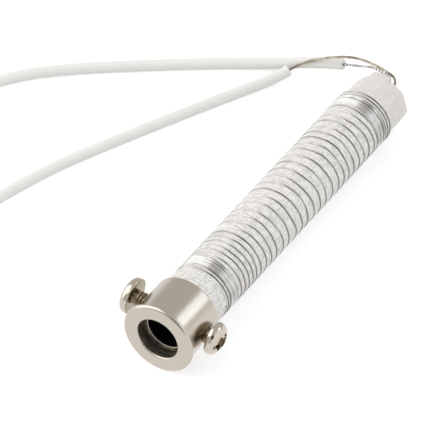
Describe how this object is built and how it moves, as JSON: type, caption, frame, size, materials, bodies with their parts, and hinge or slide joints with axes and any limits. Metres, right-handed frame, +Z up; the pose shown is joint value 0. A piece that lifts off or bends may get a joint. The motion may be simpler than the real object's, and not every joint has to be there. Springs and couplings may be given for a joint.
{
  "type": "soldering iron heating element",
  "caption": "Tubular heating element of a soldering iron: a collar with tip clamp screws, a wire-bound mica body and sleeved leads.",
  "frame": {"origin": "on the surface it lies on, under the middle of the box of the rigid pieces, leads left out", "axes": "-Y where the tip goes in, +Y to the end where the leads come out, +Z up, +X to the element's right as seen from its front"},
  "size_m": [0.0811, 0.0969, 0.0136],
  "materials": {
    "collar_steel": "turned, bare",
    "screw_steel": "plated, worn",
    "tube_steel": "bare",
    "binding_steel": "drawn wire",
    "resistance_wire": "drawn wire",
    "lead_wire": "twisted strands",
    "mica": "flaky sheet",
    "woven_glass": "fine weave",
    "sleeve_glass": "braided"
  },
  "bodies": {
    "root": {"collar": "collar_steel", "clamp_screw_right": "screw_steel", "clamp_screw_left": "screw_steel", "tip_tube": "tube_steel", "inner_mica": "mica", "heater_winding": "resistance_wire", "cover_mica": "mica", "mica_wrap": "mica", "woven_wrap": "woven_glass", "binding_wire": "binding_steel", "lead_wire_a": "lead_wire", "lead_sleeve_a": "sleeve_glass", "lead_wire_b": "lead_wire", "lead_sleeve_b": "sleeve_glass"}
  },
  "joints": []
}
